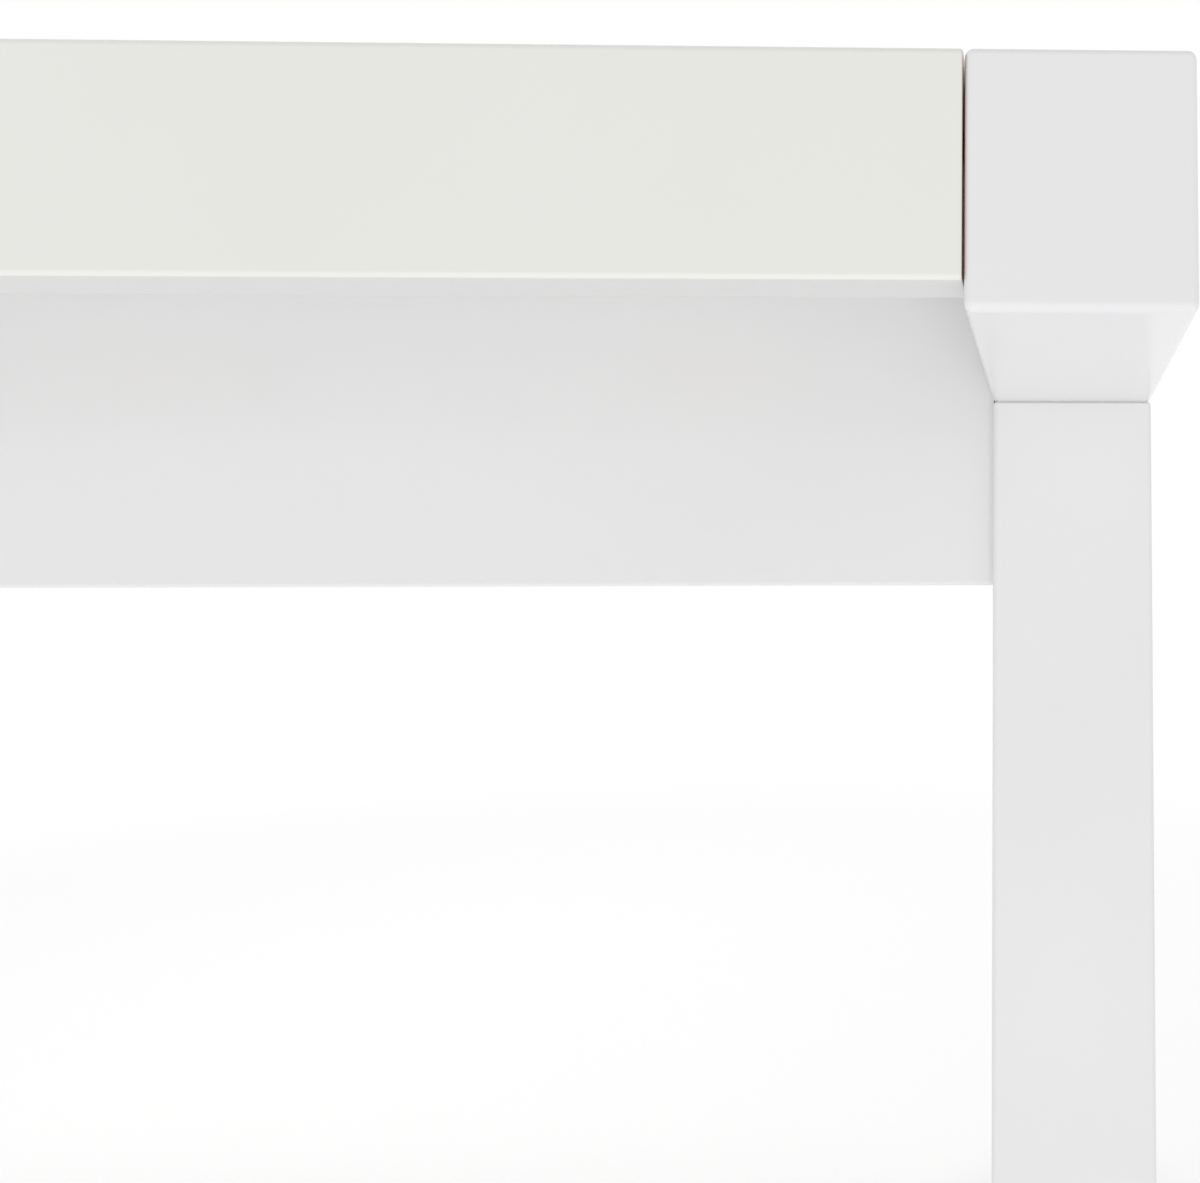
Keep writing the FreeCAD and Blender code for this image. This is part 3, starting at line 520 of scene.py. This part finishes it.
def lay_floor():
    """Pale floor that keeps the table's shadow and the shade at its feet, where its glow also dims near the
    table as painted shade, and fades to white with distance.

    The room's light and the eye pass through it from below.
    """
    bpy.ops.object.select_all(action="DESELECT")
    bpy.ops.mesh.primitive_plane_add(size=2 * FLOOR_HALF_SIZE)
    floor = bpy.context.object
    floor.name = "floor"
    floor.visible_diffuse = False
    floor.visible_shadow = False
    material, tree = new_material("pale_floor")
    # Painted shade at the feet: the floor's glow dims where the table is close by
    painted_contact_shade = add(tree, "ShaderNodeAmbientOcclusion",
                  {"samples": CONTACT_SHADE_RAYS, "Distance": CONTACT_SHADE_REACH})
    level = add(tree, "ShaderNodeMapRange", {"To Max": FLOOR_GLOW}, {"Value": painted_contact_shade.outputs["AO"]})
    glow = add(tree, "ShaderNodeEmission", {"Color": PLAIN_WHITE}, {"Strength": level.outputs["Result"]})
    matt = add(tree, "ShaderNodeBsdfDiffuse", {"Color": FLOOR_COLOUR})
    near = add(tree, "ShaderNodeAddShader", links={0: matt.outputs["BSDF"], 1: glow.outputs["Emission"]})
    far = add(tree, "ShaderNodeEmission", {"Color": PLAIN_WHITE})
    place = add(tree, "ShaderNodeTexCoord").outputs["Object"]
    distance = add(tree, "ShaderNodeVectorMath", {"operation": "LENGTH"}, {"Vector": place})
    fade = add(tree, "ShaderNodeMapRange", {"From Min": FLOOR_FADE_START, "From Max": FLOOR_FADE_END},
               {"Value": distance.outputs["Value"]})
    upper_side = add(tree, "ShaderNodeMixShader", links={
        "Fac": fade.outputs["Result"], SHADER_FROM: near.outputs["Shader"],
        SHADER_TO: far.outputs["Emission"],
    })
    lower_side = add(tree, "ShaderNodeBsdfTransparent")
    from_below = add(tree, "ShaderNodeNewGeometry").outputs["Backfacing"]
    both = add(tree, "ShaderNodeMixShader", links={
        "Fac": from_below, SHADER_FROM: upper_side.outputs["Shader"], SHADER_TO: lower_side.outputs["BSDF"],
    })
    add(tree, "ShaderNodeOutputMaterial", links={"Surface": both.outputs["Shader"]})
    floor.data.materials.append(material)


def light_room():
    """White room light, brighter below the horizon, that the eye, gloss and glass see as plain white."""
    world = bpy.data.worlds.new("studio")
    bpy.context.scene.world = world
    world.use_nodes = True
    tree = world.node_tree
    tree.nodes.clear()
    direction = add(tree, "ShaderNodeTexCoord").outputs["Generated"]
    height = add(tree, "ShaderNodeSeparateXYZ", links={"Vector": direction}).outputs["Z"]
    lift = add(tree, "ShaderNodeMapRange", {"From Min": -HORIZON_BLEND, "From Max": HORIZON_BLEND},
               {"Value": height}).outputs["Result"]
    colour = add(tree, "ShaderNodeMix", COLOUR_MIX | ROOM_TINT, {MIX_SHARE: lift})
    level = add(tree, "ShaderNodeMapRange", {"To Min": ROOM_LIGHT_BELOW, "To Max": ROOM_LIGHT_ABOVE},
                {"Value": lift})
    room = add(tree, "ShaderNodeBackground", links={
        "Color": colour.outputs[MIXED_COLOUR], "Strength": level.outputs["Result"],
    })
    white = add(tree, "ShaderNodeBackground", {"Color": PLAIN_WHITE})
    path = add(tree, "ShaderNodeLightPath").outputs
    seen = path["Is Camera Ray"]
    for ray in ("Is Glossy Ray", "Is Transmission Ray"):
        either = add(tree, "ShaderNodeMath", {"operation": "MAXIMUM"}, {0: seen, 1: path[ray]})
        seen = either.outputs["Value"]
    both = add(tree, "ShaderNodeMixShader", links={
        "Fac": seen, SHADER_FROM: room.outputs["Background"], SHADER_TO: white.outputs["Background"],
    })
    add(tree, "ShaderNodeOutputWorld", links={"Surface": both.outputs["Shader"]})


def hang_lamp(name, place, size, power):
    """Soft lamp, wide and high as given, that points at the table."""
    data = bpy.data.lights.new(name, "AREA")
    data.shape = "RECTANGLE"
    data.size, data.size_y = size
    data.energy = power
    lamp = bpy.data.objects.new(name, data)
    lamp.location = place
    lamp.rotation_euler = (LAMP_TARGET - place).to_track_quat("-Z", "Y").to_euler()
    lamp.visible_camera = False
    lamp.visible_glossy = False
    bpy.context.scene.collection.objects.link(lamp)


def set_camera():
    """Eye just below the top, before the front right corner, framed as the photograph is."""
    bar_low, bar_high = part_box("end_bar_right")
    data = bpy.data.cameras.new("camera")
    data.sensor_width = SENSOR_WIDTH
    data.lens = SENSOR_WIDTH * FOCAL_LENGTH_PX / IMAGE_WIDTH
    data.shift_x = (IMAGE_WIDTH / 2 - OPTICAL_CENTRE_PX[0]) / IMAGE_WIDTH
    data.shift_y = (OPTICAL_CENTRE_PX[1] - IMAGE_HEIGHT / 2) / IMAGE_WIDTH
    data.clip_start = NEAREST_SEEN
    camera = bpy.data.objects.new("camera", data)
    camera.location = Vector((bar_low.x, bar_low.y, bar_high.z)) + EYE_FROM_BAR_CORNER
    level = Euler((math.radians(90 + EYE_LIFT), 0, math.radians(-EYE_TURN))).to_matrix()
    camera.rotation_euler = (level @ Matrix.Rotation(math.radians(EYE_ROLL), 3, "Z")).to_euler()
    bpy.context.scene.collection.objects.link(camera)
    bpy.context.scene.camera = camera


materials = finish_nodes()
for group in SCREW_GROUPS:
    pan_head_screws(group, materials["zinc_steel"])
threaded_bolts(materials["zinc_steel"])
for corner in CORNERS:
    threaded_stem(corner, materials["zinc_steel"])
lay_floor()
light_room()
for lamp_name, (lamp_place, lamp_size, lamp_power) in LAMPS.items():
    hang_lamp(lamp_name, lamp_place, lamp_size, lamp_power)
set_camera()
bpy.context.scene.view_settings.view_transform = "Standard"
